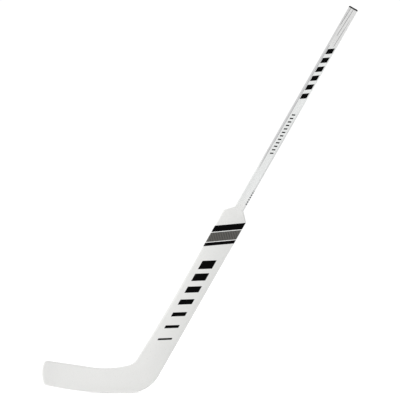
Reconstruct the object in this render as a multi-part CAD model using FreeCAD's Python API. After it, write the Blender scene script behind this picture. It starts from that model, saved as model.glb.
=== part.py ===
import FreeCAD, Part
import math
import os
from FreeCAD import Vector as V

# Ice hockey goalkeeper's stick, senior size, in millimetres.
# +Z is up from the ice, +X runs from toe to heel, and -Y is the face that meets the shot.
# The origin is the middle of the flat stretch of the blade's sole, where it stands on the ice.
# The stick is moulded as a hollow shaft bonded into a foam-cored paddle and blade.
# Stations are distances along the paddle axis from the ice. Offsets run across that axis,
# positive towards the trailing edge.

# Stick as a whole
LIE_DEG = 60.3
STICK_LENGTH = 1550.0

# Shaft tube
SHAFT_WIDTH = 34.0
SHAFT_THICKNESS = 22.0
SHAFT_CORNER = 4.5
SHAFT_INNER_CORNER = 1.0
SHAFT_HOLLOW = 0.7
SHAFT_WALL = 1.5
SHAFT_EMBED = 160.0
BUNG_LENGTH = 40.0

# Butt plug
PLUG_FLANGE = 6.0
PLUG_FLANGE_ROUND = 3.0
PLUG_SPIGOT = 38.0
PLUG_WALL = 2.2
PLUG_CLEARANCE = 0.3
PLUG_LEAD_IN = 1.0
PLUG_RIB_WIDTH = 1.6
PLUG_RIBS_PER_FACE = 3
PLUG_RIB_PITCH = 7.0

# Laminate over the paddle and blade
SKIN = 1.2
NECK_LIP = 0.4
BAND_WIDTH = 8.0
BAND_DEPTH = 0.6
FILM = 0.15

# Paddle
PADDLE_WIDTH = 89.0
PADDLE_EDGE_ROUND = 11.0
SHOULDER_STATION = 711.5
SHOULDER_RUN = 29.0
SHOULDER_EDGE_ROUND = 6.5
# Least flat left between two edge rounds, on either side of the parting line.
EDGE_LAND = 1.0

# Blade outline
SOLE_FLAT = 46.0
HEEL_RADIUS = 118.0
HEEL_INNER_RADIUS = 50.0
FLARE_STATION = 350.0
FLARE_RADIUS = 5000.0
ROCKER_RADIUS = 1000.0
BLADE_HEIGHT = 86.2
TOP_DIP_X = -60.0
TOP_RADIUS = 340.0
TOE_RISE_DEG = 9.4
TOE_X = -279.0
TOE_MID_Z = 72.0
TOE_RADIUS = 110.0
TOE_TOP_CORNER = 13.0
TOE_SOLE_CORNER = 11.0
BLADE_EDGE_ROUND = 6.5

# Blade curve, seen from above
CURVE_START_X = 20.0
FACE_CURVE_RADIUS = 1100.0
TOE_THICKNESS = 15.5

# Inner structure
CORE_STATION = 150.0
HEEL_BLOCK_X = -50.0
STRINGER_WEB = 1.6
STRINGER_FLANGE = 1.2
STRINGER_FLANGE_WIDTH = 20.0
STRINGER_TONGUE = 20.0
BRIDGE_THICKNESS = 3.0
BRIDGE_TONGUE = 15.0
BRIDGE_TOE_GAP = 20.0

# Sash across the top of the paddle: stripe widths from the top down, along the axis
SASH_DROP = 32.5
SASH_SLANT = 62.0
SASH_UPPER = 26.0
SASH_PINSTRIPE = 2.6
SASH_PANEL = 38.0
SASH_LOWER = 14.0
SASH_MARGIN = 10.0

# Fading bars down the paddle
PADDLE_BARS = 7
PADDLE_BARS_DROP = 191.5
PADDLE_BARS_PITCH = 52.0
PADDLE_BAR_FIRST = 34.0
PADDLE_BAR_FADE = 4.4
PADDLE_BAR_REACH = 21.0
PADDLE_BAR_SLANT = 26.0

# Bars, ticks and stripes on the shaft, with drops from the upper end of the tube
SHAFT_BARS = 6
SHAFT_BARS_DROP = 164.0
SHAFT_BARS_PITCH = 36.0
SHAFT_BAR_LENGTH = 21.0
SHAFT_BAR_SLANT = 14.0
SHAFT_BAR_LOW = -7.0
SHAFT_BAR_HIGH = 13.0
SHAFT_TICKS = 12
SHAFT_TICKS_DROP = 424.0
SHAFT_TICKS_PITCH = 14.0
SHAFT_TICK_LENGTH = 5.0
SHAFT_TICK_SLANT = 5.0
SHAFT_TICK_LOW = -3.0
SHAFT_TICK_HIGH = 8.0
SIDE_STRIPE_DROP = 149.0
SIDE_STRIPE_LENGTH = 490.0
SIDE_STRIPE_TAPER = 105.0
SIDE_STRIPE_EDGE = -8.5
PINSTRIPES = 3
PINSTRIPE_DROP = 72.0
PINSTRIPE_STEP = 38.0
PINSTRIPE_LENGTH = 110.0
PINSTRIPE_WIDTH = 1.6
PINSTRIPE_OFFSET = -11.5
PINSTRIPE_PITCH = 8.5
PINSTRIPE_DRIFT = 5.0
SIDE_MARK_RISE = 21.0
SIDE_MARK_LENGTH = 60.0
SIDE_MARK_EDGE = 11.5

# Derived sizes
LEAN = math.radians(90.0 - LIE_DEG)
PADDLE_THICKNESS = SHAFT_THICKNESS + 2 * SKIN
NECK_STATION = SHOULDER_STATION + SHOULDER_RUN
TUBE_FOOT = SHOULDER_STATION - SHAFT_EMBED
TUBE_TOP = STICK_LENGTH - PLUG_FLANGE
SASH_TOP = SHOULDER_STATION - SASH_DROP
SASH_WIDTH = SASH_UPPER + SASH_PINSTRIPE + SASH_PANEL + SASH_PINSTRIPE + SASH_LOWER
SASH_FOOT = SASH_TOP - SASH_SLANT / 2 - SASH_WIDTH
# Above this station the paddle's section stays the same up to the shoulder.
EVEN_STATION = SASH_FOOT - SASH_MARGIN
# Edge rounds are limited by the walls that they lie on.
PADDLE_ROUND = min(PADDLE_EDGE_ROUND, PADDLE_THICKNESS / 2 - EDGE_LAND)
SHOULDER_ROUND = min(SHOULDER_EDGE_ROUND, PADDLE_THICKNESS / 2 - EDGE_LAND)
BLADE_ROUND = min(BLADE_EDGE_ROUND, TOE_THICKNESS / 2 - EDGE_LAND)
PADDLE_BARS_TOP = SHOULDER_STATION - PADDLE_BARS_DROP
SHAFT_BARS_TOP = TUBE_TOP - SHAFT_BARS_DROP
SHAFT_TICKS_TOP = TUBE_TOP - SHAFT_TICKS_DROP
SIDE_STRIPE_TOP = TUBE_TOP - SIDE_STRIPE_DROP
SIDE_STRIPE_FOOT = SIDE_STRIPE_TOP - SIDE_STRIPE_LENGTH
PINSTRIPE_FOOT = TUBE_TOP - PINSTRIPE_DROP
SIDE_MARK_FOOT = NECK_STATION + SIDE_MARK_RISE
HEEL_TURN = math.radians(LIE_DEG)
AXIS_FOOT_X = (
    SOLE_FLAT / 2
    + HEEL_RADIUS * math.tan(HEEL_TURN / 2)
    - PADDLE_WIDTH / 2 / math.cos(LEAN)
)
AXIS = V(math.sin(LEAN), 0, math.cos(LEAN))
ACROSS = V(math.cos(LEAN), 0, -math.sin(LEAN))
# Cutting solids reach this far past the stick on every side.
BEYOND = 120.0
FAR = STICK_LENGTH

DOCUMENT = FreeCAD.newDocument("stick")


# Frames and plane figures


def along_stick(shape):
    """Moves a shape from the stick's own frame, with z along the axis and x across it, into place."""
    turn = FreeCAD.Rotation(V(0, 1, 0), 90.0 - LIE_DEG)
    placed = shape.copy()
    placed.Placement = FreeCAD.Placement(V(AXIS_FOOT_X, 0, 0), turn).multiply(placed.Placement)
    return placed


def on_stick(station, offset):
    """Point in the stick's mid-plane at a station along the axis and an offset across it."""
    return V(AXIS_FOOT_X, 0, 0) + AXIS * station + ACROSS * offset


def arc(centre, start, end):
    """Arc of under half a circle about a centre, from start to end."""
    middle = (start - centre) + (end - centre)
    middle.normalize()
    return Part.Arc(start, centre + middle * (start - centre).Length, end).toShape()


def line(start, end):
    """Straight edge."""
    return Part.LineSegment(start, end).toShape()


def toward(centre, through, distance):
    """Point at a distance from a centre, on the ray through another point."""
    ray = through - centre
    ray.normalize()
    return centre + ray * distance


def reach_on_line(start, direction, centre, distance):
    """Points of a line that lie at a distance from a centre, nearer one first."""
    towards = (centre - start).dot(direction)
    foot = start + direction * towards
    half = math.sqrt(distance**2 - (centre - foot).Length ** 2)
    return foot - direction * half, foot + direction * half


def meeting_of_circles(first, first_radius, second, second_radius):
    """The two points at given distances from two centres in the XZ plane, toe's side first."""
    gap = (second - first).Length
    direction = (second - first) * (1 / gap)
    along = (gap**2 + first_radius**2 - second_radius**2) / (2 * gap)
    side = V(-direction.z, 0, direction.x) * math.sqrt(first_radius**2 - along**2)
    foot = first + direction * along
    return sorted((foot - side, foot + side), key=lambda p: p.x)


def prism(edges, reach):
    """Solid of a closed figure, extruded by a vector."""
    return Part.Face(Part.Wire(edges)).extrude(reach)


def slab_of(points):
    """Prism through the whole thickness, of a figure given as stations and offsets."""
    corners = [V(offset, -BEYOND, station) for station, offset in points]
    figure = Part.makePolygon(corners + corners[:1])
    return along_stick(Part.Face(figure).extrude(V(0, 2 * BEYOND, 0)))


def stations(low, high):
    """Everything between two stations along the axis."""
    return slab_of([(low, -FAR), (high, -FAR), (high, FAR), (low, FAR)])


def offsets(low, high):
    """Everything between two offsets across the axis."""
    return slab_of([(-FAR, low), (FAR, low), (FAR, high), (-FAR, high)])


# Outline of the paddle and blade, seen from the front


def rocker_centre():
    """Centre of the sole's long curve towards the toe."""
    return V(-SOLE_FLAT / 2, 0, ROCKER_RADIUS)


def toe_centre():
    """Centre of the bulge at the end of the toe."""
    return V(TOE_X + TOE_RADIUS, 0, TOE_MID_Z)


def dip_centre():
    """Centre of the hollow in the blade's top edge."""
    return V(TOP_DIP_X, 0, BLADE_HEIGHT + TOP_RADIUS)


def flare_centre():
    """Centre of the slow curve that widens the paddle towards the heel."""
    return on_stick(FLARE_STATION, -PADDLE_WIDTH / 2 - FLARE_RADIUS)


def inner_heel_centre():
    """Centre of the round where the blade's top edge turns up into the paddle."""
    top_reach = TOP_RADIUS - HEEL_INNER_RADIUS
    flare_reach = FLARE_RADIUS - HEEL_INNER_RADIUS
    return meeting_of_circles(dip_centre(), top_reach, flare_centre(), flare_reach)[0]


def outline(inset):
    """Edges of the paddle and blade's outline, drawn in by an inset all round but at the top."""
    half = PADDLE_WIDTH / 2 - inset
    rise = math.radians(TOE_RISE_DEG)
    inward = V(-math.sin(rise), 0, -math.cos(rise))
    toewards = V(-math.cos(rise), 0, math.sin(rise))
    rocker, toe, dip = rocker_centre(), toe_centre(), dip_centre()
    heel = V(SOLE_FLAT / 2, 0, HEEL_RADIUS)

    flare, inner = flare_centre(), inner_heel_centre()
    top_line = dip + inward * (TOP_RADIUS + TOE_TOP_CORNER)
    top_corner = reach_on_line(top_line, toewards, toe, TOE_RADIUS - TOE_TOP_CORNER)[1]
    sole_corner = meeting_of_circles(
        rocker, ROCKER_RADIUS - TOE_SOLE_CORNER, toe, TOE_RADIUS - TOE_SOLE_CORNER
    )[0]

    shoulder_lead = on_stick(SHOULDER_STATION, -half)
    even_lead = on_stick(EVEN_STATION, -half)
    flare_lead = on_stick(FLARE_STATION, -half)
    inner_lead = toward(flare, inner, FLARE_RADIUS + inset)
    inner_top = toward(dip, inner, TOP_RADIUS + inset)
    top_start = dip + inward * (TOP_RADIUS + inset)
    top_end = top_corner - inward * (TOE_TOP_CORNER - inset)
    toe_top = toward(toe, top_corner, TOE_RADIUS - inset)
    toe_low = toward(toe, sole_corner, TOE_RADIUS - inset)
    rocker_end = toward(rocker, sole_corner, ROCKER_RADIUS - inset)
    flat_toe = V(-SOLE_FLAT / 2, 0, inset)
    flat_heel = V(SOLE_FLAT / 2, 0, inset)
    heel_top = heel + ACROSS * (HEEL_RADIUS - inset)
    flare_trail = on_stick(FLARE_STATION, half)
    even_trail = on_stick(EVEN_STATION, half)
    shoulder_trail = on_stick(SHOULDER_STATION, half)
    return [
        line(shoulder_lead, even_lead),
        line(even_lead, flare_lead),
        arc(flare, flare_lead, inner_lead),
        arc(inner, inner_lead, inner_top),
        arc(dip, inner_top, top_start),
        line(top_start, top_end),
        arc(top_corner, top_end, toe_top),
        arc(toe, toe_top, toe_low),
        arc(sole_corner, toe_low, rocker_end),
        arc(rocker, rocker_end, flat_toe),
        line(flat_toe, flat_heel),
        arc(heel, flat_heel, heel_top),
        line(heel_top, flare_trail),
        line(flare_trail, even_trail),
        line(even_trail, shoulder_trail),
        line(shoulder_trail, shoulder_lead),
    ]


# Thickness and curve of the blade, seen from above


def curve_radius(toe_drop):
    """Radius of a curve that leaves the paddle's plane tangent and drops so far at the toe."""
    run = CURVE_START_X - TOE_X
    return (run**2 + toe_drop**2) / (2 * toe_drop)


def face_drop():
    """How far the front face has come forward at the toe."""
    run = CURVE_START_X - TOE_X
    return FACE_CURVE_RADIUS - math.sqrt(FACE_CURVE_RADIUS**2 - run**2)


def curve_edges(level, radius, grow):
    """Edges from beyond the toe to beyond the butt: an arc, then a straight run."""
    centre = V(CURVE_START_X, level - radius, 0)
    reach = radius + grow
    run = CURVE_START_X - TOE_X + BEYOND / 2
    start = centre + V(-run, math.sqrt(reach**2 - run**2), 0)
    turn = V(CURVE_START_X, level + grow, 0)
    end = V(on_stick(STICK_LENGTH, PADDLE_WIDTH).x, level + grow, 0)
    return [arc(centre, start, turn), line(turn, end)], start, end


def front_edges(inset):
    """Plan curve of the front face."""
    return curve_edges(-PADDLE_THICKNESS / 2, FACE_CURVE_RADIUS, inset)


def back_edges(inset):
    """Plan curve of the back face, set by the toe's thickness."""
    drop = face_drop() + PADDLE_THICKNESS - TOE_THICKNESS
    return curve_edges(PADDLE_THICKNESS / 2, curve_radius(drop), -inset)


def middle_edges(shift):
    """Plan curve midway between the faces, moved towards the back by a shift."""
    drop = face_drop() + (PADDLE_THICKNESS - TOE_THICKNESS) / 2
    return curve_edges(0, curve_radius(drop), shift)


def between_curves(low, high):
    """Solid between two plan curves, through the whole height."""
    low_edges, low_start, low_end = low
    high_edges, high_start, high_end = high
    edges = low_edges + [line(low_end, high_end)] + high_edges[::-1] + [line(high_start, low_start)]
    solid = prism(Part.__sortEdges__(edges), V(0, 0, FAR + BEYOND))
    solid.translate(V(0, 0, -BEYOND))
    return solid


def front_half():
    """Everything in front of the parting surface."""
    edges, start, end = middle_edges(0)
    corners = [end, V(end.x, -BEYOND, 0), V(start.x, -BEYOND, 0), start]
    edges = edges + [line(a, b) for a, b in zip(corners, corners[1:])]
    solid = prism(Part.__sortEdges__(edges), V(0, 0, FAR + BEYOND))
    solid.translate(V(0, 0, -BEYOND))
    return solid


# Rounded bodies that the laminate, cores and films are cut from


def is_face_side(face):
    """True for the front and back faces, whose normals lie near the Y axis."""
    u0, u1, v0, v1 = face.ParameterRange
    return abs(face.normalAt((u0 + u1) / 2, (v0 + v1) / 2).y) > 0.7


def edge_round_at(vertex, inset):
    """Radius of the edge round at a vertex of the outline, fullest where the flare starts."""
    station = (vertex.Point - V(AXIS_FOOT_X, 0, 0)).dot(AXIS)
    if station < FLARE_STATION / 2:
        return BLADE_ROUND - inset
    if station < (FLARE_STATION + EVEN_STATION) / 2:
        return PADDLE_ROUND - inset
    return SHOULDER_ROUND - inset


def rounded_body(inset):
    """Paddle and blade below the shoulder, with rounded edges, drawn in by an inset all over."""
    figure = prism(outline(inset), V(0, 2 * BEYOND, 0))
    figure.translate(V(0, -BEYOND, 0))
    sharp = figure.common(between_curves(front_edges(inset), back_edges(inset))).Solids[0]
    rims = []
    for number, edge in enumerate(sharp.Edges, 1):
        faces = sharp.ancestorsOfType(edge, Part.Face)
        ends = [v.Point for v in edge.Vertexes]
        on_top = all(abs((p - on_stick(SHOULDER_STATION, 0)).dot(AXIS)) < 1e-6 for p in ends)
        if sum(is_face_side(f) for f in faces) == 1 and not on_top:
            radii = [edge_round_at(v, inset) for v in (edge.firstVertex(True), edge.lastVertex(True))]
            rims.append((number, *radii))
    base = DOCUMENT.addObject("Part::Feature", "sharp")
    base.Shape = sharp
    rounded = DOCUMENT.addObject("Part::Fillet", "rounded")
    rounded.Base = base
    rounded.Edges = rims
    DOCUMENT.recompute()
    return rounded.Shape.Solids[0]


def rounded_section(width, thickness, corner, hollow, station):
    """Wire of a rounded rectangle square to the axis, in the stick's own frame.

    The wide faces are drawn in by a hollow at their middle, and stay tangent to the corners.
    """
    x, y = width / 2 - corner, thickness / 2 - corner
    tilt = 2 * math.atan(hollow / x)
    end_x, end_y = x - corner * math.sin(tilt), y + corner * math.cos(tilt)
    edges = []
    for side in (1, -1):
        centre = V(side * x, side * y, station)
        far_centre = V(-side * x, side * y, station)
        start = V(side * width / 2, side * y, station)
        face_start = V(side * end_x, side * end_y, station)
        face_end = V(-side * end_x, side * end_y, station)
        middle = V(0, side * (thickness / 2 - hollow), station)
        end = V(-side * width / 2, side * y, station)
        edges.append(arc(centre, start, face_start))
        if hollow:
            edges.append(Part.Arc(face_start, middle, face_end).toShape())
        else:
            edges.append(line(face_start, face_end))
        edges.append(arc(far_centre, face_end, end))
        edges.append(line(end, V(end.x, -end.y, station)))
    return Part.Wire(edges)


def shaft_section(grow, hollow, station):
    """Wire of the shaft's section, grown all round. A drawn-in corner keeps its least radius."""
    width, thickness = SHAFT_WIDTH + 2 * grow, SHAFT_THICKNESS + 2 * grow
    corner = max(SHAFT_CORNER + grow, SHAFT_INNER_CORNER)
    return rounded_section(width, thickness, corner, hollow, station)


def shaft_bar(grow, low, high):
    """Straight bar of the shaft's section, grown all round."""
    return Part.Face(shaft_section(grow, SHAFT_HOLLOW, low)).extrude(V(0, 0, high - low))


def socket_bar(grow, low, high):
    """Straight bar of the flat-faced section that the shaft has inside the paddle."""
    return Part.Face(shaft_section(grow, 0, low)).extrude(V(0, 0, high - low))


def neck_bar(grow):
    """Length of the shaft inside the shoulder, where its faces grow hollow."""
    flat = shaft_section(grow, 0, SHOULDER_STATION)
    return Part.makeLoft([flat, shaft_section(grow, SHAFT_HOLLOW, NECK_STATION)], True, True)


def whole_shaft(grow):
    """The shaft's bar from its foot in the paddle to its upper end, grown all round."""
    foot = socket_bar(grow, TUBE_FOOT, SHOULDER_STATION)
    return foot.fuse([neck_bar(grow), shaft_bar(grow, NECK_STATION, TUBE_TOP)]).removeSplitter()


def tube_slot():
    """Square-cornered slot that the shaft lies in, from its foot to the neck."""
    corner = V(-SHAFT_WIDTH / 2, -PADDLE_THICKNESS / 2, TUBE_FOOT)
    return along_stick(Part.makeBox(SHAFT_WIDTH, PADDLE_THICKNESS, NECK_STATION - TUBE_FOOT, corner))


def paddle_section(inset, station):
    """Wire of the paddle's section near the shoulder, drawn in by an inset."""
    width, thickness = PADDLE_WIDTH - 2 * inset, PADDLE_THICKNESS - 2 * inset
    return rounded_section(width, thickness, SHOULDER_ROUND - inset, 0, station)


def paddle_bar(inset):
    """Upper length of the paddle, where its section stays the same, drawn in by an inset."""
    section = paddle_section(inset, EVEN_STATION)
    return along_stick(Part.Face(section).extrude(V(0, 0, SHOULDER_STATION - EVEN_STATION)))


def shoulder_body(inset):
    """Shoulder that narrows from the paddle to the shaft, drawn in by an inset."""
    lip = NECK_LIP * (1 - inset / SKIN)
    neck = shaft_section(lip, SHAFT_HOLLOW, NECK_STATION)
    return along_stick(Part.makeLoft([paddle_section(inset, SHOULDER_STATION), neck], True, True))


def shoulder_shell():
    """Laminate of the shoulder, close round the shaft and hollow on either side of it."""
    hollows = shoulder_body(SKIN).cut(tube_slot())
    return shoulder_body(0).cut(hollows).cut(along_stick(neck_bar(0)))


# Shaft pieces


def shaft_tube():
    """Hollow laminated tube that runs from inside the paddle to the butt plug."""
    return along_stick(whole_shaft(0).cut(whole_shaft(-SHAFT_WALL)))


def shaft_foam_bung():
    """Foam stop that closes the tube's lower end."""
    return along_stick(socket_bar(-SHAFT_WALL, TUBE_FOOT, TUBE_FOOT + BUNG_LENGTH))


def plug_ribs(low, high):
    """Crush ribs that fill the clearance between spigot and bore on the wide faces."""
    bore = shaft_bar(-SHAFT_WALL, low, high)
    ribs = []
    for i in range(PLUG_RIBS_PER_FACE):
        centre = (i - (PLUG_RIBS_PER_FACE - 1) / 2) * PLUG_RIB_PITCH
        corner = V(centre - PLUG_RIB_WIDTH / 2, -SHAFT_THICKNESS / 2, low)
        ribs.append(Part.makeBox(PLUG_RIB_WIDTH, SHAFT_THICKNESS, high - low, corner).common(bore))
    return ribs


def butt_plug():
    """Moulded end plug: a flange on the tube's end and a hollow ribbed spigot inside it."""
    flange = shaft_bar(0, TUBE_TOP, STICK_LENGTH)
    rim = [e for e in flange.Edges if all(abs(v.Z - STICK_LENGTH) < 1e-6 for v in e.Vertexes)]
    flange = flange.makeFillet(PLUG_FLANGE_ROUND, rim)
    low = TUBE_TOP - PLUG_SPIGOT
    spigot = shaft_bar(-SHAFT_WALL - PLUG_CLEARANCE, low, TUBE_TOP)
    foot = [e for e in spigot.Edges if all(abs(v.Z - low) < 1e-6 for v in e.Vertexes)]
    spigot = spigot.makeChamfer(PLUG_LEAD_IN, foot)
    spigot = spigot.fuse(plug_ribs(low + 2 * PLUG_LEAD_IN, TUBE_TOP))
    hollow = shaft_bar(-SHAFT_WALL - PLUG_CLEARANCE - PLUG_WALL, low, TUBE_TOP)
    return along_stick(flange.fuse(spigot).cut(hollow).removeSplitter())


# Inner pieces of the paddle and blade


def stringer():
    """I-section stiffener from the tube's end down into the heel block."""
    low, depth = CORE_STATION - STRINGER_TONGUE, SHAFT_THICKNESS
    length = TUBE_FOOT - low
    web = Part.makeBox(STRINGER_WEB, depth, length, V(-STRINGER_WEB / 2, -depth / 2, low))
    beam = web
    for level in (-depth / 2, depth / 2 - STRINGER_FLANGE):
        corner = V(-STRINGER_FLANGE_WIDTH / 2, level, low)
        beam = beam.fuse(Part.makeBox(STRINGER_FLANGE_WIDTH, STRINGER_FLANGE, length, corner))
    return along_stick(beam.removeSplitter())


def blade_top(x):
    """Height of the blade's top edge, in its hollow or on its straight rise to the toe."""
    dip, rise = dip_centre(), math.radians(TOE_RISE_DEG)
    rise_x = dip.x - TOP_RADIUS * math.sin(rise)
    if x < rise_x:
        return dip.z - TOP_RADIUS * math.cos(rise) + (rise_x - x) * math.tan(rise)
    return dip.z - math.sqrt(TOP_RADIUS**2 - (x - dip.x) ** 2)


def blade_middle(x):
    """Height midway between the blade's sole and top edge."""
    rocker = rocker_centre()
    sole = rocker.z - math.sqrt(ROCKER_RADIUS**2 - (x - rocker.x) ** 2)
    return (sole + blade_top(x)) / 2


def middle_line(rise):
    """Arc along the middle of the blade, from toe to heel, moved up by a rise."""
    heel_x = HEEL_BLOCK_X + BRIDGE_TONGUE
    toe_x = TOE_X + SKIN + BRIDGE_TOE_GAP
    stops = (toe_x, (toe_x + TOP_DIP_X) / 2, heel_x)
    return Part.Arc(*[V(x, -BEYOND, blade_middle(x) + rise) for x in stops])


def bridge_region():
    """Strip that the blade's bridge fills, through the whole thickness."""
    under, over = middle_line(-BRIDGE_THICKNESS / 2), middle_line(BRIDGE_THICKNESS / 2)
    ends = [line(under.EndPoint, over.EndPoint), line(over.StartPoint, under.StartPoint)]
    return prism([under.toShape(), ends[0], over.toShape(), ends[1]], V(0, 2 * BEYOND, 0))


def upper_region():
    """Everything above the middle of the blade."""
    bend = middle_line(0)
    start, end = bend.StartPoint, bend.EndPoint
    corners = [end, V(end.x + FAR, -BEYOND, end.z), V(end.x + FAR, -BEYOND, FAR)]
    corners += [V(start.x - FAR, -BEYOND, FAR), V(start.x - FAR, -BEYOND, start.z), start]
    edges = [bend.toShape()] + [line(a, b) for a, b in zip(corners, corners[1:])]
    return prism(edges, V(0, 2 * BEYOND, 0))


def blade_side():
    """Everything on the blade's side of a plane that halves the turn of the heel."""
    centre = inner_heel_centre()
    down = toward(V(), centre - dip_centre(), 1) + toward(V(), centre - flare_centre(), 1)
    down.normalize()
    toewards = V(down.z, 0, -down.x)
    near, far = centre - down * FAR, centre + down * FAR
    corners = [near, far, far + toewards * FAR, near + toewards * FAR, near]
    solid = Part.Face(Part.makePolygon(corners)).extrude(V(0, 2 * BEYOND, 0))
    solid.translate(V(0, -BEYOND, 0))
    return solid


def toe_side(x):
    """Everything on the toe's side of an upright plane."""
    return Part.makeBox(FAR, 2 * BEYOND, 2 * FAR, V(x - FAR, -BEYOND, -FAR))


# Printed films


def film_of(shell, figures):
    """Pieces of a printed layer that lie within the given figures."""
    pieces = [shell.common(figure) for figure in figures]
    return Part.makeCompound([solid for piece in pieces for solid in piece.Solids])


def slanted(top, length, low, high, slant):
    """Figure of a slanted bar: its top station at the low offset, and its rise to the high one."""
    return [(top - length, low), (top, low), (top + slant, high), (top - length + slant, high)]


def sash_figures():
    """Sash across the paddle, from the top down, drawn twice as wide to pass both edges."""
    reach, slant = PADDLE_WIDTH, 2 * SASH_SLANT
    top = SASH_TOP - slant / 2
    stripes = {"black": [], "pale": [], "woven": []}
    layout = [
        ("black", SASH_UPPER),
        ("pale", SASH_PINSTRIPE),
        ("woven", SASH_PANEL),
        ("pale", SASH_PINSTRIPE),
        ("black", SASH_LOWER),
    ]
    for kind, width in layout:
        stripes[kind].append(slab_of(slanted(top, width, -reach, reach, slant)))
        top -= width
    return stripes


def paddle_bar_figures():
    """Slanted bars down the paddle that grow thinner towards the heel."""
    figures = []
    for i in range(PADDLE_BARS):
        length = PADDLE_BAR_FIRST - i * PADDLE_BAR_FADE
        top = PADDLE_BARS_TOP - i * PADDLE_BARS_PITCH
        bar = slanted(top, length, -PADDLE_BAR_REACH, PADDLE_BAR_REACH, PADDLE_BAR_SLANT)
        figures.append(slab_of(bar))
    return figures


def shaft_bar_figures():
    """Row of slanted bars on the front of the shaft."""
    tops = [SHAFT_BARS_TOP - i * SHAFT_BARS_PITCH for i in range(SHAFT_BARS)]
    return [
        slab_of(slanted(t, SHAFT_BAR_LENGTH, SHAFT_BAR_LOW, SHAFT_BAR_HIGH, SHAFT_BAR_SLANT))
        for t in tops
    ]


def shaft_tick_figures():
    """Row of small slanted ticks below the bars."""
    tops = [SHAFT_TICKS_TOP - i * SHAFT_TICKS_PITCH for i in range(SHAFT_TICKS)]
    return [
        slab_of(slanted(t, SHAFT_TICK_LENGTH, SHAFT_TICK_LOW, SHAFT_TICK_HIGH, SHAFT_TICK_SLANT))
        for t in tops
    ]


def side_stripe_figure():
    """Stripe along the leading edge of the shaft that runs out to a point near the paddle."""
    edge = -SHAFT_WIDTH
    corner = -SHAFT_WIDTH / 2
    return slab_of(
        [
            (SIDE_STRIPE_FOOT, edge),
            (SIDE_STRIPE_FOOT, corner),
            (SIDE_STRIPE_FOOT + SIDE_STRIPE_TAPER, SIDE_STRIPE_EDGE),
            (SIDE_STRIPE_TOP, SIDE_STRIPE_EDGE),
            (SIDE_STRIPE_TOP, edge),
        ]
    )


def pinstripe_figures():
    """Thin lines near the top of the shaft, each lower and further across than the one before."""
    figures = []
    for i in range(PINSTRIPES):
        foot = PINSTRIPE_FOOT - i * PINSTRIPE_STEP
        top = foot + PINSTRIPE_LENGTH
        low = PINSTRIPE_OFFSET + i * PINSTRIPE_PITCH - PINSTRIPE_WIDTH / 2
        high = low + PINSTRIPE_WIDTH
        line_figure = [
            (foot, low),
            (top, low + PINSTRIPE_DRIFT),
            (top, high + PINSTRIPE_DRIFT),
            (foot, high),
        ]
        figures.append(slab_of(line_figure))
    return figures


def side_mark_figure():
    """Plain bar round the trailing corner of the shaft, just above the shoulder."""
    top = SIDE_MARK_FOOT + SIDE_MARK_LENGTH
    return slab_of(
        [
            (SIDE_MARK_FOOT, SIDE_MARK_EDGE),
            (top, SIDE_MARK_EDGE),
            (top, SHAFT_WIDTH),
            (SIDE_MARK_FOOT, SHAFT_WIDTH),
        ]
    )


def flat_layer():
    """Printed layer over the flat of the paddle's front."""
    flat = PADDLE_WIDTH - 2 * PADDLE_ROUND
    corner = V(-flat / 2, -PADDLE_THICKNESS / 2, 0)
    return along_stick(Part.makeBox(flat, FILM, SHOULDER_STATION, corner))


def paddle_prints(rim):
    """Printed layers on the paddle's front, let in flush and stopping at the edge bands."""
    layer = paddle_bar(0).cut(paddle_bar(FILM)).common(front_half()).cut(rim)
    sash = sash_figures()
    return {
        "sash_stripes": film_of(layer, sash["black"]),
        "sash_pinstripes": film_of(layer, sash["pale"]),
        "sash_woven_panel": film_of(layer, sash["woven"]),
        "paddle_bars": film_of(flat_layer(), paddle_bar_figures()),
    }


def shaft_prints():
    """Printed layers on the shaft's front, let in flush."""
    bar, inside = shaft_bar(0, NECK_STATION, TUBE_TOP), shaft_bar(-FILM, NECK_STATION, TUBE_TOP)
    layer = along_stick(bar.cut(inside)).common(front_half())
    return {
        "shaft_bars": film_of(layer, shaft_bar_figures()),
        "shaft_ticks": film_of(layer, shaft_tick_figures()),
        "shaft_side_stripe": film_of(layer, [side_stripe_figure()]),
        "shaft_pinstripes": film_of(layer, pinstripe_figures()),
        "shaft_side_mark": film_of(layer, [side_mark_figure()]),
    }


# Pieces, by name


def shaft_pieces(prints):
    """Tube, plug and bung."""
    return {
        "shaft_tube": shaft_tube().cut(list(prints.values())),
        "butt_plug": butt_plug(),
        "shaft_foam_bung": shaft_foam_bung(),
    }


def edge_rim(outer):
    """Ring of tape let in along the parting line, all round the outline."""
    zone = between_curves(middle_edges(-BAND_WIDTH / 2), middle_edges(BAND_WIDTH / 2))
    return outer.cut(rounded_body(BAND_DEPTH)).common(zone)


def laminate_pieces(outer, cavity, rim, prints):
    """Front and back skins of the paddle and blade, and the bands along their edges."""
    front, blade = front_half(), blade_side()
    lead = offsets(-FAR, 0)
    above = upper_region().common(lead)
    shell = outer.cut(cavity).cut(rim)
    paddle_shell = shell.cut(blade).fuse(shoulder_shell()).removeSplitter()
    blade_shell = shell.common(blade)
    paddle_rim, blade_rim = rim.cut(blade), rim.common(blade)
    return {
        "paddle_front_skin": paddle_shell.common(front).cut(list(prints.values())),
        "paddle_back_skin": paddle_shell.cut(front),
        "blade_front_skin": blade_shell.common(front),
        "blade_back_skin": blade_shell.cut(front),
        "leading_edge_band": paddle_rim.common(lead),
        "trailing_edge_band": paddle_rim.cut(lead),
        "blade_top_band": blade_rim.common(above),
        "blade_sole_band": blade_rim.cut(above),
    }


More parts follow.
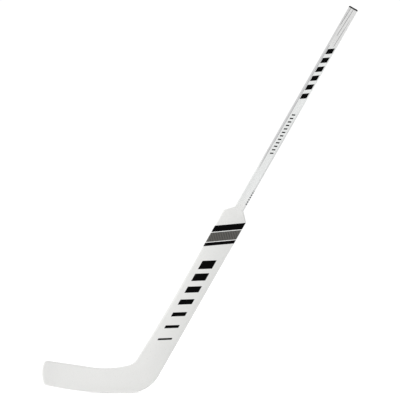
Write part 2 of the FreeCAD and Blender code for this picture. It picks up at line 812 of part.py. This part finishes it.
def core_pieces(cavity):
    """Foam, stringer, heel block and bridge inside the laminate."""
    lead, above = offsets(-FAR, 0), upper_region()
    beam = stringer()
    bridge = cavity.common(bridge_region())
    filled = cavity.fuse(shoulder_body(SKIN)).removeSplitter()
    paddle_core = filled.common(stations(CORE_STATION, FAR)).cut([tube_slot(), beam])
    blade_fill = cavity.common(stations(-FAR, CORE_STATION)).cut(bridge)
    blade_core = blade_fill.common(toe_side(HEEL_BLOCK_X))
    return {
        "paddle_core_leading": paddle_core.common(lead),
        "paddle_core_trailing": paddle_core.cut(lead),
        "paddle_stringer": beam,
        "heel_block": blade_fill.cut([toe_side(HEEL_BLOCK_X), beam]),
        "blade_bridge": bridge,
        "blade_core_upper": blade_core.common(above),
        "blade_core_lower": blade_core.cut(above),
    }


def main():
    """Builds every piece and writes one file each."""
    outer, cavity = rounded_body(0), rounded_body(SKIN)
    rim = edge_rim(outer)
    on_paddle, on_shaft = paddle_prints(rim), shaft_prints()
    pieces = {
        **shaft_pieces(on_shaft),
        **laminate_pieces(outer, cavity, rim, on_paddle),
        **core_pieces(cavity),
        **on_paddle,
        **on_shaft,
    }
    os.makedirs("parts", exist_ok=True)
    for name, shape in pieces.items():
        shape.exportStep(f"parts/{name}.step")
        print(name, len(shape.Solids), round(shape.Volume, 1), shape.isValid())


main()
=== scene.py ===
import logging
import math
from dataclasses import dataclass, field
from enum import Enum
from functools import reduce
from operator import mul
from typing import Any, Union

import bmesh
import bpy
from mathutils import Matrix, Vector

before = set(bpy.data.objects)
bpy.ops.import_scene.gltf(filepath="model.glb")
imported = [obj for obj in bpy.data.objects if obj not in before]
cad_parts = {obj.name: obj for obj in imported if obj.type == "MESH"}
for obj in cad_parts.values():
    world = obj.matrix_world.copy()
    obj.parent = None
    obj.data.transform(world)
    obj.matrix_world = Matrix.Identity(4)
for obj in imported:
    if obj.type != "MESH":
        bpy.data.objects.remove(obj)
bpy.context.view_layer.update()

LOG = logging.getLogger("stick")

Number = Union[float, "Value"]
Triple = tuple[float, float, float]
Colour = Triple
Span = tuple[float, float]
Borders = dict[Triple, Span]
Socket = bpy.types.NodeSocket

# Lengths are in metres. The stick's axis leans back from the ice at its lie.
MM = 0.001
LEAN = math.radians(29.7)
AXIS = (math.sin(LEAN), 0.0, math.cos(LEAN))
ACROSS = (math.cos(LEAN), 0.0, -math.sin(LEAN))
AXIS_FOOT = (0.04031, 0.0, 0.0)
SOLE = (1.0, 0.0, 0.0)
UP = (0.0, 0.0, 1.0)
LEFT = (-1.0, 0.0, 0.0)
BACK = (0.0, 1.0, 0.0)

WHITE = (1.0, 1.0, 1.0, 1.0)
COAT_ROUGHNESS = 0.08

# Sockets of a Mix node that mixes colours.
MIX_FACTOR = 0
MIX_LOW = 6
MIX_HIGH = 7
MIX_RESULT = 2

# A twill repeats every four tows, and its warp is on top for two of them, less a margin for rounding.
TWILL_REPEAT = 4
WARP_SHARE = 0.49


class Value:
    """A number on a shader socket, whose operators add Math nodes."""

    def __init__(self, graph: "Nodes", socket: Socket) -> None:
        """Wraps a socket.

        Args:
            graph: Node tree the socket belongs to.
            socket: Output that carries the number.
        """
        self.graph = graph
        self.socket = socket

    def _math(self, operation: str, *values: Number) -> "Value":
        """Adds a Math node.

        Args:
            operation: Blender's name of the operation.
            values: Its inputs in order.

        Returns:
            The node's result.
        """
        node = self.graph.node("ShaderNodeMath", {"operation": operation}, dict(enumerate(values)))
        return Value(self.graph, node.outputs[0])

    def __add__(self, other: Number) -> "Value":
        """Sum."""
        return self._math("ADD", self, other)

    __radd__ = __add__

    def __sub__(self, other: Number) -> "Value":
        """Difference."""
        return self._math("SUBTRACT", self, other)

    def __rsub__(self, other: Number) -> "Value":
        """Difference, from the right."""
        return self._math("SUBTRACT", other, self)

    def __mul__(self, other: Number) -> "Value":
        """Product."""
        return self._math("MULTIPLY", self, other)

    __rmul__ = __mul__

    def __truediv__(self, other: Number) -> "Value":
        """Quotient."""
        return self._math("DIVIDE", self, other)

    def __rtruediv__(self, other: Number) -> "Value":
        """Quotient, from the right."""
        return self._math("DIVIDE", other, self)

    def __lt__(self, other: Number) -> "Value":
        """One where this is less, and nought elsewhere."""
        return self._math("LESS_THAN", self, other)

    def __gt__(self, other: Number) -> "Value":
        """One where this is greater, and nought elsewhere."""
        return self._math("GREATER_THAN", self, other)

    def floor(self) -> "Value":
        """Whole number below."""
        return self._math("FLOOR", self)

    def fract(self) -> "Value":
        """Part after the whole number below."""
        return self._math("FRACT", self)

    def sine(self) -> "Value":
        """Sine, of radians."""
        return self._math("SINE", self)

    def steps(self, low: float, high: float) -> "Value":
        """Smooth rise from nought to one.

        Args:
            low: Number where it starts.
            high: Number where it ends.

        Returns:
            The rise.
        """
        settings = {"interpolation_type": "SMOOTHSTEP"}
        inputs = {"Value": self, "From Min": low, "From Max": high}
        return Value(self.graph, self.graph.node("ShaderNodeMapRange", settings, inputs).outputs[0])


class Nodes:
    """Node tree of a material or of the world."""

    def __init__(self, owner: bpy.types.Material | bpy.types.World) -> None:
        """Empties the owner's node tree.

        Args:
            owner: Material or world that the nodes belong to.
        """
        owner.use_nodes = True
        self.tree = owner.node_tree
        self.tree.nodes.clear()

    def node(
        self,
        kind: str,
        settings: dict[str, Any] | None = None,
        inputs: dict[str | int, Any] | None = None,
    ) -> bpy.types.Node:
        """Adds a node.

        Args:
            kind: Blender's node type.
            settings: The node's own properties, set first.
            inputs: Values or links of its sockets, by name or number.

        Returns:
            The new node.
        """
        node = self.tree.nodes.new(kind)
        for key, value in (settings or {}).items():
            setattr(node, key, value)
        for key, value in (inputs or {}).items():
            self.feed(node.inputs[key], value)
        return node

    def feed(self, socket: Socket, value: Any) -> None:
        """Sets a socket's value, or links it.

        Args:
            socket: Input to set.
            value: A number, a tuple, a Value or an output socket.
        """
        if isinstance(value, Value):
            value = value.socket
        if isinstance(value, Socket):
            self.tree.links.new(value, socket)
        else:
            socket.default_value = value

    def dot(self, vector: Socket, direction: Triple) -> Value:
        """Dot product with a fixed direction.

        Args:
            vector: Socket of the vector.
            direction: The fixed direction.

        Returns:
            The product.
        """
        inputs = {0: vector, 1: direction}
        node = self.node("ShaderNodeVectorMath", {"operation": "DOT_PRODUCT"}, inputs)
        return Value(self, node.outputs["Value"])


class Graph(Nodes):
    """Node tree of one material, with its shader and output in place."""

    def __init__(self, name: str) -> None:
        """Starts a material.

        Args:
            name: The material's name.
        """
        self.material = bpy.data.materials.new(name)
        super().__init__(self.material)
        self.shader = self.node("ShaderNodeBsdfPrincipled")
        self.node("ShaderNodeOutputMaterial", inputs={"Surface": self.shader.outputs[0]})

    def set(self, **inputs: Any) -> None:
        """Sets the shader's sockets.

        Args:
            inputs: Values by the sockets' names, with underscores for their spaces.
        """
        for key, value in inputs.items():
            self.feed(self.shader.inputs[key.replace("_", " ")], value)

    def place(self) -> Socket:
        """Point of the surface in the stick's frame, in metres."""
        return self.node("ShaderNodeTexCoord").outputs["Object"]

    def along(self, direction: Triple) -> Value:
        """Distance of the surface's point along a direction from the foot of the stick's axis.

        Args:
            direction: Unit vector in the stick's frame.

        Returns:
            The distance in metres.
        """
        inputs = {0: self.place(), 1: AXIS_FOOT}
        shifted = self.node("ShaderNodeVectorMath", {"operation": "SUBTRACT"}, inputs)
        return self.dot(shifted.outputs[0], direction)

    def blend(self, factor: Number, low: Colour | Socket, high: Colour | Socket) -> Socket:
        """Mixes two colours.

        Args:
            factor: Share of the second colour.
            low: First colour.
            high: Second colour.

        Returns:
            The mixed colour's socket.
        """
        low, high = [(*c, 1.0) if isinstance(c, tuple) else c for c in (low, high)]
        inputs = {MIX_FACTOR: factor, MIX_LOW: low, MIX_HIGH: high}
        return self.node("ShaderNodeMix", {"data_type": "RGBA"}, inputs).outputs[MIX_RESULT]

    def bump(self, height: Number) -> None:
        """Raises the surface's look.

        Args:
            height: Height in metres.
        """
        node = self.node("ShaderNodeBump", inputs={"Height": height, "Distance": 1.0})
        self.set(Normal=node.outputs[0])


@dataclass(frozen=True)
class Grain:
    """Cloudy noise about one half."""

    size: float
    layers: float = 2.0
    rough: float = 0.5

    def on(self, graph: Graph) -> Value:
        """Lays the noise over a surface.

        Args:
            graph: Material to draw it in.

        Returns:
            The noise.
        """
        inputs = {
            "Vector": graph.place(),
            "Scale": 1 / self.size,
            "Detail": self.layers,
            "Roughness": self.rough,
        }
        return Value(graph, graph.node("ShaderNodeTexNoise", inputs=inputs).outputs[0])


CLOUDS = Grain(60 * MM, layers=3.0)
ORANGE_PEEL = Grain(3.5 * MM, rough=0.4)
FLECKS = Grain(0.7 * MM, layers=4.0, rough=0.7)
FIBRES = Grain(0.5 * MM, layers=3.0, rough=0.6)
SPARK_PITS = Grain(0.45 * MM, layers=3.0, rough=0.6)
SCUFFS = Grain(9 * MM, layers=4.0, rough=0.6)
FLOOR_CLOUDS = Grain(500 * MM)


@dataclass(frozen=True)
class Varied:
    """A number that a pattern raises from its base."""

    base: float
    gain: float

    def by(self, pattern: Value) -> Value:
        """The number under a pattern that goes from nought to one."""
        return self.base + pattern * self.gain


class Lay(Enum):
    """How a weave lies, by the directions that its warp and its weft are counted in."""

    PADDLE = (ACROSS, AXIS)
    BLADE = (SOLE, UP)


@dataclass(frozen=True)
class Twill:
    """Two-by-two twill weave of flat tows."""

    tow: float
    lay: Lay

    def threads(self, graph: Graph) -> tuple[Value, Value]:
        """Lays the weave out on a surface.

        Args:
            graph: Material to draw it in.

        Returns:
            One where the warp is on top, and the height of the upper tow from nought to one.
        """
        warp, weft = [graph.along(way) / self.tow for way in self.lay.value]
        over = ((warp.floor() + weft.floor()) / TWILL_REPEAT).fract() < WARP_SHARE
        warp_crown, weft_crown = [(count.fract() * math.pi).sine() for count in (warp, weft)]
        return over, over * warp_crown + (1 - over) * weft_crown


@dataclass(frozen=True)
class Mottle:
    """A colour with patches of a second one, where a noise rises through a span."""

    colour: Colour
    patch: Colour
    span: Span

    def by(self, graph: Graph, noise: Value) -> Socket:
        """Colour under a noise that is laid over a material."""
        return graph.blend(noise.steps(*self.span), self.colour, self.patch)


@dataclass(frozen=True, kw_only=True)
class Region:
    """Part of the stick that lies past some soft borders and short of others, by direction."""

    past: Borders = field(default_factory=dict)
    short_of: Borders = field(default_factory=dict)

    def share(self, graph: Graph) -> Value:
        """How far a surface lies in the region.

        Args:
            graph: Material to draw it in.

        Returns:
            One inside, nought outside, and a fraction on the borders.
        """
        inside = [graph.along(way).steps(*span) for way, span in self.past.items()]
        inside += [1 - graph.along(way).steps(*span) for way, span in self.short_of.items()]
        return reduce(mul, inside)


@dataclass(frozen=True)
class Tone(Region):
    """A colour laid over its region, apart from a second region that it spares."""

    colour: Colour
    spared: Region | None = field(default=None, kw_only=True)

    def over(self, graph: Graph, body: Socket) -> Socket:
        """Lays the tone over a colour.

        Args:
            graph: Material to draw it in.
            body: Socket of the colour that shows elsewhere.

        Returns:
            The new colour's socket.
        """
        share = self.share(graph)
        if self.spared:
            share = share * (1 - self.spared.share(graph))
        return graph.blend(share, body, self.colour)


CLOUDING = (0.35, 0.7)
FLECKING = (0.5, 0.75)
WARM_WHITE = Mottle((0.725, 0.725, 0.711), (0.710, 0.711, 0.698), CLOUDING)
COOL_WHITE = Mottle((0.724, 0.735, 0.729), (0.709, 0.721, 0.715), CLOUDING)

# Painted light and shade of the blade and paddle. The neck is the paddle's narrow top.
# The painted shade spares the neck, which leaves a painted highlight running down from the shaft.
PAINTED_NECK_HIGHLIGHT = Region(past={AXIS: (690 * MM, 745 * MM)}, short_of={ACROSS: (6 * MM, 26 * MM)})
# Painted highlight: the blade is lighter than the paddle.
BLADE_GLEAM = Tone((0.744, 0.744, 0.731), short_of={ACROSS: (-160 * MM, -40 * MM)})
# Painted shade: darker towards the toe, where the blade curves away from the light.
TOE_SHADE = Tone((0.704, 0.704, 0.692), short_of={SOLE: (-340 * MM, -220 * MM)})
# Painted shade: darker towards the trailing side, away from the light, fading out at the heel.
TRAILING_SHADE = Tone(
    (0.660, 0.661, 0.649),
    past={ACROSS: (-38 * MM, 38 * MM), AXIS: (-40 * MM, 200 * MM)},
    spared=PAINTED_NECK_HIGHLIGHT,
)
# Painted highlight: the lowest 11 mm along the sole are lighter.
SOLE_GLEAM = Tone((0.82, 0.82, 0.806), short_of={UP: (0.0, 11 * MM)})

# Tones of the shaft, and of the stripe on its leading side. The foot shade and the corner shade are
# painted shade; the stripe's lines are print.
SHOULDER = (735 * MM, 810 * MM)
CORNER_SHADE_WHITE = (0.60, 0.608, 0.604)
GRIP_GREY = Tone((0.652, 0.652, 0.646), past={AXIS: (1330 * MM, 1430 * MM)})
# Painted shade: the leading side of the shaft's foot, above the shoulder, is darker.
FOOT_SHADE = Tone(
    (0.684, 0.695, 0.689),
    past={AXIS: SHOULDER},
    short_of={AXIS: (830 * MM, 900 * MM), ACROSS: (-8 * MM, -3 * MM)},
)
# Painted shade: the shaft's trailing corner, turned from the light, is darker up to the shaft's
# middle.
CORNER_SHADE = Tone(
    CORNER_SHADE_WHITE,
    past={ACROSS: (10.5 * MM, 13.5 * MM)},
    short_of={AXIS: (1080 * MM, 1200 * MM)},
)
STRIPE_FOOT = Tone(
    (0.46, 0.46, 0.46),
    past={ACROSS: (-13.5 * MM, -12 * MM), AXIS: (875 * MM, 930 * MM)},
    short_of={ACROSS: (-9.5 * MM, -8.5 * MM), AXIS: (985 * MM, 1015 * MM), BACK: (-6 * MM, 0.0)},
)
STRIPE_BORDER = Tone((0.30, 0.30, 0.31), past={ACROSS: (-10.2 * MM, -9.9 * MM)})
STRIPE_HEAD = Tone(
    (0.55, 0.55, 0.55),
    past={AXIS: (1385 * MM, 1400 * MM)},
    short_of={ACROSS: (-14 * MM, -8 * MM), BACK: (6 * MM, 10 * MM)},
)


@dataclass(frozen=True)
class Coating:
    """A finish with a material of its own."""

    name: str

    def fill(self, graph: Graph) -> None:
        """Draws the finish.

        Args:
            graph: New material to draw it in.
        """
        raise NotImplementedError

    def material(self) -> bpy.types.Material:
        """Makes the material.

        Returns:
            The finished material.
        """
        graph = Graph(self.name)
        self.fill(graph)
        return graph.material


@dataclass(frozen=True)
class WhiteLacquer(Coating):
    """White gloss lacquer over a woven laminate, which shows through a little."""

    weave: Twill
    tones: tuple[Tone, ...]
    weave_share: float = 0.35
    depth: float = 0.01 * MM
    rough: Varied = Varied(0.24, 0.1)
    coat: Varied = Varied(0.3, 0.2)

    def white(self, graph: Graph, clouds: Value) -> Socket:
        """Faintly clouded white."""
        return WARM_WHITE.by(graph, clouds)

    def paint(self, graph: Graph, clouds: Value) -> Socket:
        """Colour of the lacquer: the white, with each tone laid over it in turn; among the tones are
        painted light and painted shade.

        Args:
            graph: Material to draw it in.
            clouds: Slow noise over the surface.

        Returns:
            The colour's socket.
        """
        colour = self.white(graph, clouds)
        for tone in self.tones:
            colour = tone.over(graph, colour)
        return colour

    def height(self, graph: Graph, peel: Value) -> Value:
        """Height of the weave and the orange peel.

        Args:
            graph: Material to draw it in.
            peel: Orange peel.

        Returns:
            The height in metres.
        """
        _, weave = self.weave.threads(graph)
        relief = weave * self.weave_share + peel * (1 - self.weave_share)
        return relief * self.depth

    def fill(self, graph: Graph) -> None:
        """Draws the finish.

        Args:
            graph: New material to draw it in.
        """
        clouds = CLOUDS.on(graph)
        peel = ORANGE_PEEL.on(graph)
        graph.set(
            Base_Color=self.paint(graph, clouds),
            Roughness=self.rough.by(peel),
            Coat_Weight=self.coat.by(clouds),
            Coat_Roughness=COAT_ROUGHNESS,
        )
        graph.bump(self.height(graph, peel))


@dataclass(frozen=True)
class ShaftLacquer(WhiteLacquer):
    """White lacquer that turns cooler up the shaft."""

    def white(self, graph: Graph, clouds: Value) -> Socket:
        """Faintly clouded white, warm below the shoulder and cool above it."""
        warm, cool = super().white(graph, clouds), COOL_WHITE.by(graph, clouds)
        return graph.blend(graph.along(AXIS).steps(*SHOULDER), warm, cool)


@dataclass(frozen=True)
class Ink(Coating):
    """Solid ink under gloss lacquer, with fine flecks and a faint orange peel."""

    colours: Mottle
    rough: Varied = Varied(0.28, 0.1)
    coat: Varied = Varied(0.32, 0.16)
    gloss: float = 0.5
    depth: float = 0.02 * MM

    def fill(self, graph: Graph) -> None:
        """Draws the finish.

        Args:
            graph: New material to draw it in.
        """
        flecks = FLECKS.on(graph)
        peel = ORANGE_PEEL.on(graph)
        graph.set(
            Base_Color=self.colours.by(graph, flecks),
            Roughness=self.rough.by(peel),
            Coat_Weight=self.coat.by(peel),
            Coat_Roughness=COAT_ROUGHNESS,
            Specular_IOR_Level=self.gloss,
        )
        graph.bump(peel * self.depth)


@dataclass(frozen=True)
class LineInk(Coating):
    """Thin ink of the shaft's lines, with fine flecks."""

    colour: Colour
    rough: Varied = Varied(0.28, 0.08)
    coat: Varied = Varied(0.4, 0.1)
    depth: float = 0.01 * MM

    def paint(self, graph: Graph, flecks: Value) -> Socket:
        """Colour of the ink.

        Args:
            graph: Material to draw it in.
            flecks: Fine noise over the surface.

        Returns:
            The colour's socket.
        """
        raise NotImplementedError

    def fill(self, graph: Graph) -> None:
        """Draws the finish.

        Args:
            graph: New material to draw it in.
        """
        flecks = FLECKS.on(graph)
        graph.set(
            Base_Color=self.paint(graph, flecks),
            Roughness=self.rough.by(flecks),
            Coat_Weight=self.coat.by(flecks),
            Coat_Roughness=COAT_ROUGHNESS,
        )
        graph.bump(flecks * self.depth)


@dataclass(frozen=True)
class FadingInk(LineInk):
    """Ink of staggered lines that fade in at their feet, and out near the shaft's trailing corner."""

    faded: Colour = (0.56, 0.56, 0.56)
    stagger: float = 4.5
    foot: Span = (1412 * MM, 1430 * MM)
    corner: Span = (7.5 * MM, 11.5 * MM)

    def paint(self, graph: Graph, flecks: Value) -> Socket:
        """Colour of the ink.

        Args:
            graph: Material to draw it in.
            flecks: Fine noise over the surface.

        Returns:
            The colour's socket.
        """
        across = graph.along(ACROSS)
        rise = graph.along(AXIS) + across * self.stagger
        share = rise.steps(*self.foot) * (1 - across.steps(*self.corner))
        return graph.blend(share, self.faded, self.colour)


@dataclass(frozen=True)
class EdgedInk(LineInk):
    """Ink with a darker line along its inner border, which fades in at the stripe's foot."""

    fleck: Colour = (0.60, 0.60, 0.60)

    def paint(self, graph: Graph, flecks: Value) -> Socket:
        """Colour of the ink.

        Args:
            graph: Material to draw it in.
            flecks: Fine noise over the surface.

        Returns:
            The colour's socket.
        """
        body = Mottle(self.colour, self.fleck, FLECKING).by(graph, flecks)
        return STRIPE_BORDER.over(graph, STRIPE_FOOT.over(graph, body))


@dataclass(frozen=True)
class DashedInk(LineInk):
    """Ink of short dashes one after another up the shaft."""

    # The gaps between the dashes carry the corner's painted shade.
    gap: Colour = CORNER_SHADE_WHITE
    pitch: float = 9 * MM
    dash: float = 5 * MM

    def paint(self, graph: Graph, flecks: Value) -> Socket:
        """Colour of the ink.

        Args:
            graph: Material to draw it in.
            flecks: Fine noise over the surface; not used here.

        Returns:
            The colour's socket.
        """
        inked = (graph.along(AXIS) / self.pitch).fract() < self.dash / self.pitch
        return graph.blend(inked, self.gap, self.colour)


@dataclass(frozen=True)
class WovenInk(Coating):
    """Dark twill weave, with a painted sheen on the tows: their colour is lighter on their crowns and
    on the warp.
    """

    weave: Twill
    low: Colour = (0.012, 0.012, 0.012)
    warp: Colour = (0.100, 0.093, 0.078)
    weft: Colour = (0.036, 0.034, 0.029)
    painted_sheen: Varied = Varied(0.7, 0.5)
    rough: Varied = Varied(0.42, -0.14)
    coat: Varied = Varied(0.22, 0.1)
    coat_rough: float = 0.06
    depth: float = 0.03 * MM

    def fill(self, graph: Graph) -> None:
        """Draws the finish.

        Args:
            graph: New material to draw it in.
        """
        over, crown = self.weave.threads(graph)
        fibres = FIBRES.on(graph)
        # Painted sheen: the warp is coloured lighter than the weft, and each tow lighter towards its
        # crown.
        tow = graph.blend(over, self.weft, self.warp)
        graph.set(
            Base_Color=graph.blend(crown * self.painted_sheen.by(fibres), self.low, tow),
            Roughness=self.rough.by(crown),
            Coat_Weight=self.coat.by(fibres),
            Coat_Roughness=self.coat_rough,
        )
        graph.bump(crown * self.depth)


@dataclass(frozen=True)
class MouldedPlastic(Coating):
    """Moulded plastic with a fine spark-eroded grain, rubbed smoother in places."""

    colour: Colour
    worn: Colour
    rubbing: Span = (0.5, 0.8)
    rough: Varied = Varied(0.5, 0.2)
    smoothing: float = 0.08
    depth: float = 0.05 * MM

    def fill(self, graph: Graph) -> None:
        """Draws the finish.

        Args:
            graph: New material to draw it in.
        """
        pits = SPARK_PITS.on(graph)
        rubbed = SCUFFS.on(graph).steps(*self.rubbing)
        graph.set(
            Base_Color=graph.blend(rubbed, self.colour, self.worn),
            Roughness=self.rough.by(pits) - rubbed * self.smoothing,
        )
        graph.bump(pits * self.depth)


@dataclass(frozen=True)
class Foam(Coating):
    """Closed-cell foam."""

    colour: Colour
    cell_wall: Colour
    cell: float = 0.8 * MM
    walls: Span = (0.2, 0.7)
    rough: Varied = Varied(0.8, 0.15)
    depth: float = 0.15 * MM

    def fill(self, graph: Graph) -> None:
        """Draws the finish.

        Args:
            graph: New material to draw it in.
        """
        inputs = {"Vector": graph.place(), "Scale": 1 / self.cell}
        cells = graph.node("ShaderNodeTexVoronoi", {"feature": "F1"}, inputs)
        hollow = Value(graph, cells.outputs["Distance"])
        graph.set(
            Base_Color=graph.blend(hollow.steps(*self.walls), self.colour, self.cell_wall),
            Roughness=self.rough.by(hollow),
        )
        graph.bump((1 - hollow) * self.depth)


PADDLE_WEAVE = Twill(2.4 * MM, Lay.PADDLE)
BLADE_WEAVE = Twill(2.4 * MM, Lay.BLADE)
PADDLE_PAINTED_LIGHT = (BLADE_GLEAM, TOE_SHADE, TRAILING_SHADE, SOLE_GLEAM)
# The shaft's tones mix print lines and the grey grip with painted shade.
SHAFT_TONES = (GRIP_GREY, FOOT_SHADE, CORNER_SHADE, STRIPE_FOOT, STRIPE_HEAD)
PADDLE_WHITE = WhiteLacquer("paddle_white_lacquer", PADDLE_WEAVE, PADDLE_PAINTED_LIGHT)
BLADE_WHITE = WhiteLacquer("blade_white_lacquer", BLADE_WEAVE, PADDLE_PAINTED_LIGHT, weave_share=0.55)
SHAFT_WHITE = ShaftLacquer("shaft_white_lacquer", PADDLE_WEAVE, SHAFT_TONES, weave_share=0.2)
BLACK_INK = Ink(
    "black_ink",
    Mottle((0.0012, 0.0012, 0.0013), (0.003, 0.003, 0.003), FLECKING),
    coat=Varied(0.008, 0.004),
    gloss=0.02,
)
PALE_INK = Ink("pale_ink", Mottle((0.82, 0.82, 0.81), (0.86, 0.86, 0.85), FLECKING))
MARK_INK = DashedInk("mark_ink", (0.10, 0.10, 0.10))
GREY_INK = FadingInk("grey_ink", (0.17, 0.17, 0.173))
STRIPE_INK = EdgedInk("stripe_ink", (0.545, 0.545, 0.55))
WOVEN_INK = WovenInk("woven_ink", Twill(3.0 * MM, Lay.PADDLE))
PLUG_PLASTIC = MouldedPlastic("plug_plastic", (0.012, 0.012, 0.012), (0.03, 0.03, 0.03))
CORE_FOAM = Foam("core_foam", (0.70, 0.63, 0.46), (0.50, 0.43, 0.29))
HEEL_FOAM = Foam("heel_foam", (0.42, 0.31, 0.15), (0.26, 0.18, 0.08), cell=0.5 * MM)
CARBON = WovenInk("bare_carbon", Twill(2.0 * MM, Lay.PADDLE), warp=(0.06, 0.06, 0.062))


@dataclass
class Assembly:
    """Nodes of one part of the stick, each with its finish."""

    finishes: dict[str, Coating] = field(default_factory=dict)

    def dress(self, made: dict[str, bpy.types.Material]) -> None:
        """Gives each node its material.

        Args:
            made: Materials made so far, by name. New ones are added.
        """
        for node, finish in self.finishes.items():
            if finish.name not in made:
                made[finish.name] = finish.material()
            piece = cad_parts[node]
            piece.data.materials.clear()
            piece.data.materials.append(made[finish.name])
            LOG.info("%s has %s", node, finish.name)


@dataclass
class Shaft(Assembly):
    """Hollow shaft with its plug, bung and prints."""

    finishes: dict[str, Coating] = field(
        default_factory=lambda: {
            "shaft_tube": SHAFT_WHITE,
            "butt_plug": PLUG_PLASTIC,
            "shaft_foam_bung": CORE_FOAM,
            "shaft_bars": BLACK_INK,
            "shaft_ticks": BLACK_INK,
            "shaft_side_stripe": STRIPE_INK,
            "shaft_pinstripes": GREY_INK,
            "shaft_side_mark": MARK_INK,
        }
    )


@dataclass
class Paddle(Assembly):
    """Foam-cored paddle with its laminate and prints."""

    finishes: dict[str, Coating] = field(
        default_factory=lambda: {
            "paddle_front_skin": PADDLE_WHITE,
            "paddle_back_skin": PADDLE_WHITE,
            "leading_edge_band": PADDLE_WHITE,
            "trailing_edge_band": PADDLE_WHITE,
            "paddle_core_leading": CORE_FOAM,
            "paddle_core_trailing": CORE_FOAM,
            "paddle_stringer": CARBON,
            "sash_stripes": BLACK_INK,
            "sash_pinstripes": PALE_INK,
            "sash_woven_panel": WOVEN_INK,
            "paddle_bars": BLACK_INK,
        }
    )


@dataclass
class Blade(Assembly):
    """Curved blade with its laminate, cores and heel."""

    finishes: dict[str, Coating] = field(
        default_factory=lambda: {
            "blade_front_skin": BLADE_WHITE,
            "blade_back_skin": BLADE_WHITE,
            "blade_top_band": BLADE_WHITE,
            "blade_sole_band": BLADE_WHITE,
            "blade_core_upper": CORE_FOAM,
            "blade_core_lower": CORE_FOAM,
            "blade_bridge": CARBON,
            "heel_block": HEEL_FOAM,
        }
    )


@dataclass
class Studio:
    """White studio: lit floor, soft light from the left, and the camera square to the stick's face."""

    floor_size: float = 40.0
    floor_cells: int = 4
    floor_low: Colour = (0.86, 0.86, 0.86)
    floor_high: Colour = (0.9, 0.9, 0.9)
    floor_rough: Varied = Varied(0.6, 0.1)
    table_glow: float = 0.24
    backdrop: float = 1.05
    room_light: float = 1.005
    glow: float = 0.30
    rim_glow: float = 0.35
    rim_span: Span = (-0.05, 0.3)
    key_power: float = 5.0
    key_place: Triple = (-2.6, -1.6, 0.9)
    key_size: tuple[float, float] = (1.6, 2.4)
    lens: float = 200.0
    sensor: float = 36.0
    view_width: float = 1.4
    view_depth: float = 4.0
    aim: Triple = (0.2705, 0.0, 0.6745)

    def room(self) -> None:
        """Makes the white surroundings, brighter to the left and more so behind, and the backdrop."""
        world = bpy.data.worlds.new("studio")
        bpy.context.scene.world = world
        nodes = Nodes(world)
        heading = nodes.node("ShaderNodeTexCoord").outputs["Generated"]
        leftward, behind = nodes.dot(heading, LEFT), nodes.dot(heading, BACK)
        rim = behind.steps(*self.rim_span) * self.rim_glow
        strength = (1 + leftward * (self.glow + rim)) * self.room_light
        painted_sheen = nodes.node("ShaderNodeBackground", inputs={"Color": WHITE, "Strength": strength})
        inputs = {"Color": WHITE, "Strength": self.backdrop}
        backdrop = nodes.node("ShaderNodeBackground", inputs=inputs)
        seen = nodes.node("ShaderNodeLightPath").outputs["Is Camera Ray"]
        inputs = {0: seen, 1: painted_sheen.outputs[0], 2: backdrop.outputs[0]}
        mix = nodes.node("ShaderNodeMixShader", inputs=inputs)
        nodes.node("ShaderNodeOutputWorld", inputs={"Surface": mix.outputs[0]})

    def floor(self) -> None:
        """Lays the pale floor, lit from below as a light table is."""
        mesh = bpy.data.meshes.new("floor")
        shape = bmesh.new()
        cells = self.floor_cells
        bmesh.ops.create_grid(shape, x_segments=cells, y_segments=cells, size=self.floor_size / 2)
        shape.to_mesh(mesh)
        shape.free()
        graph = Graph("floor_acrylic")
        cloud = FLOOR_CLOUDS.on(graph)
        graph.set(
            Base_Color=graph.blend(cloud, self.floor_low, self.floor_high),
            Roughness=self.floor_rough.by(cloud),
            Emission_Color=WHITE,
            Emission_Strength=self.table_glow,
        )
        mesh.materials.append(graph.material)
        floor = bpy.data.objects.new("floor", mesh)
        bpy.context.scene.collection.objects.link(floor)

    def lights(self) -> None:
        """Hangs the softbox on the stick's leading side."""
        data = bpy.data.lights.new("key_softbox", "AREA")
        data.shape = "RECTANGLE"
        data.size, data.size_y = self.key_size
        data.energy = self.key_power
        painted_sheen = bpy.data.objects.new("key_softbox", data)
        painted_sheen.location = self.key_place
        heading = Vector(self.aim) - Vector(self.key_place)
        painted_sheen.rotation_euler = heading.to_track_quat("-Z", "Y").to_euler()
        bpy.context.scene.collection.objects.link(painted_sheen)

    def camera(self) -> None:
        """Sets the camera level and square to the stick's face."""
        data = bpy.data.cameras.new("camera")
        data.lens, data.sensor_width = self.lens, self.sensor
        distance = self.view_width * self.lens / self.sensor
        data.clip_end = self.view_depth * distance
        camera = bpy.data.objects.new("camera", data)
        camera.location = Vector(self.aim) - Vector((0.0, distance, 0.0))
        camera.rotation_euler = (math.pi / 2, 0.0, 0.0)
        bpy.context.scene.collection.objects.link(camera)
        bpy.context.scene.camera = camera

    def build(self) -> None:
        """Makes the whole studio, shown without film-like contrast."""
        self.room()
        self.floor()
        self.lights()
        self.camera()
        bpy.context.scene.view_settings.view_transform = "Standard"
        LOG.info("studio is set")


def main() -> None:
    """Dresses each part of the stick, then sets up the studio."""
    logging.basicConfig(level=logging.INFO, format="%(name)s: %(message)s")
    made: dict[str, bpy.types.Material] = {}
    for part in (Shaft(), Paddle(), Blade()):
        part.dress(made)
        LOG.info("%s is dressed", type(part).__name__.lower())
    Studio().build()


if __name__ == "__main__":
    main()
